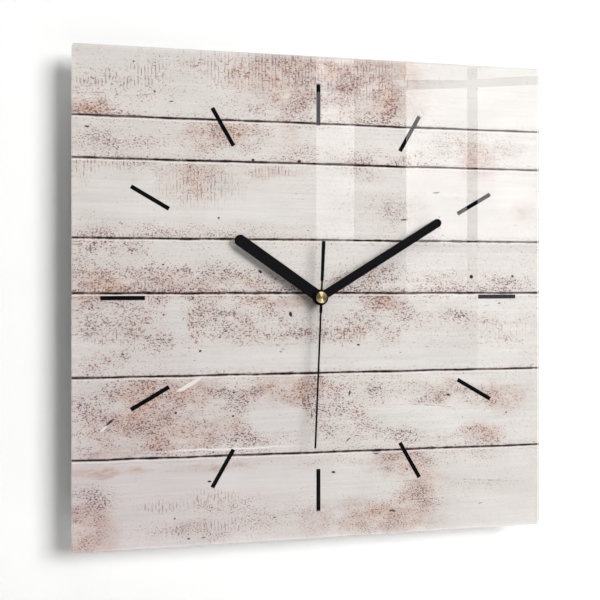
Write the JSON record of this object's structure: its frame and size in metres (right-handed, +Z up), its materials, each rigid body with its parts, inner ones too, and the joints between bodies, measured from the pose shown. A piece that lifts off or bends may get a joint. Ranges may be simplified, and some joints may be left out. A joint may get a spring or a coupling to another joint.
{
  "type": "wall clock",
  "caption": "Square glass wall clock with printed whitewashed planks, bar markers, black baton hands and a quartz movement behind, hung by an eye.",
  "frame": {"origin": "axis of the round eye in the hanger, on the wall plane", "axes": "+Y into the wall along the eye, +Z up, +X to the right of a person who reads the dial"},
  "size_m": [0.3, 0.0297, 0.3],
  "materials": {
    "toughened_glass": "polished, clear",
    "plank_print": "printed ink, whitewashed planks",
    "black_ink": "printed ink",
    "white_ink": "printed ink",
    "white_foam": "closed-cell foam",
    "black_abs": "moulded, fine spark texture",
    "grey_rubber": "moulded",
    "zinc_steel": "bright zinc plate",
    "natural_acetal": "moulded",
    "green_laminate": "solder mask",
    "black_epoxy": "potted drop",
    "nickel_steel": "nickel plate",
    "silicon_steel": "rolled",
    "white_nylon": "moulded",
    "enamelled_copper": "wound wire",
    "ferrite": "sintered",
    "polished_steel": "polished",
    "black_anodised": "black, satin",
    "brass": "turned",
    "cell_steel": "nickel plate",
    "cell_film": "shrink film, plain"
  },
  "bodies": {
    "dial_and_case": {"glass_panel": "toughened_glass", "dial_print": "plank_print", "hour_markers": "black_ink", "white_backing": "white_ink", "spacer_pads": "white_foam", "spacer_pillars": "black_abs", "spacer_feet": "grey_rubber", "movement_pad": "white_foam", "case_front": "black_abs", "case_back": "black_abs", "hanger": "black_abs", "hanger_screws": "zinc_steel", "middle_plate": "natural_acetal", "circuit_board": "green_laminate", "driver_chip": "black_epoxy", "quartz_crystal": "nickel_steel", "stator": "silicon_steel", "coil_core": "silicon_steel", "coil_bobbin": "white_nylon", "coil_winding": "enamelled_copper", "negative_contact": "nickel_steel", "positive_contact": "nickel_steel"},
    "rotor": {"rotor_pinion": "natural_acetal", "rotor_magnet": "ferrite"},
    "step_gear": {"step_wheel": "natural_acetal"},
    "seconds": {"seconds_wheel": "natural_acetal", "seconds_arbor": "polished_steel", "second_hand": "black_anodised", "second_hand_pipe": "brass", "second_hand_cap": "brass"},
    "third_gear": {"third_wheel": "natural_acetal"},
    "minutes": {"minute_pipe": "brass", "minute_wheel": "natural_acetal", "minute_hand": "black_anodised", "minute_hand_bush": "brass"},
    "motion_gear": {"motion_wheel": "natural_acetal"},
    "hours": {"hour_wheel": "natural_acetal", "hour_hand": "black_anodised", "hour_hand_bush": "brass"},
    "setting": {"setting_arbor": "natural_acetal", "setting_knob": "black_abs"},
    "battery": {"battery_can": "cell_steel", "battery_seal": "white_nylon", "battery_end_cap": "cell_steel", "battery_sleeve": "cell_film"}
  },
  "joints": [
    {"name": "minute_turn", "type": "hinge", "parent": "dial_and_case", "child": "minutes", "pos_m": [0, -0.012, -0.038], "axis": [0, 1, 0], "continuous": true},
    {"name": "hour_turn", "type": "hinge", "parent": "dial_and_case", "child": "hours", "pos_m": [0, -0.014, -0.038], "axis": [0, 1, 0], "continuous": true},
    {"name": "second_turn", "type": "hinge", "parent": "dial_and_case", "child": "seconds", "pos_m": [0, -0.008, -0.038], "axis": [0, 1, 0], "continuous": true},
    {"name": "third_turn", "type": "hinge", "parent": "dial_and_case", "child": "third_gear", "pos_m": [-0.00886, -0.009, -0.03644], "axis": [0, 1, 0], "continuous": true},
    {"name": "step_turn", "type": "hinge", "parent": "dial_and_case", "child": "step_gear", "pos_m": [0.00658, -0.008, -0.0342], "axis": [0, 1, 0], "continuous": true},
    {"name": "rotor_turn", "type": "hinge", "parent": "dial_and_case", "child": "rotor", "pos_m": [0.01348, -0.005, -0.03298], "axis": [0, 1, 0], "continuous": true},
    {"name": "motion_turn", "type": "hinge", "parent": "dial_and_case", "child": "motion_gear", "pos_m": [-0.00139, -0.013, -0.03012], "axis": [0, 1, 0], "continuous": true},
    {"name": "setting_turn", "type": "hinge", "parent": "dial_and_case", "child": "setting", "pos_m": [-0.00832, -0.013, -0.02612], "axis": [0, 1, 0], "continuous": true},
    {"name": "battery_out", "type": "slide", "parent": "dial_and_case", "child": "battery", "axis": [0, 1, 0], "range_m": [0, 0.022]}
  ],
  "couplings": [
    {"joint": "hour_turn", "follows": "minute_turn", "ratio": 0.083333},
    {"joint": "second_turn", "follows": "minute_turn", "ratio": 60},
    {"joint": "third_turn", "follows": "minute_turn", "ratio": -8},
    {"joint": "step_turn", "follows": "minute_turn", "ratio": -300},
    {"joint": "rotor_turn", "follows": "minute_turn", "ratio": 1800},
    {"joint": "motion_turn", "follows": "minute_turn", "ratio": -0.33333},
    {"joint": "setting_turn", "follows": "minute_turn", "ratio": 1}
  ]
}
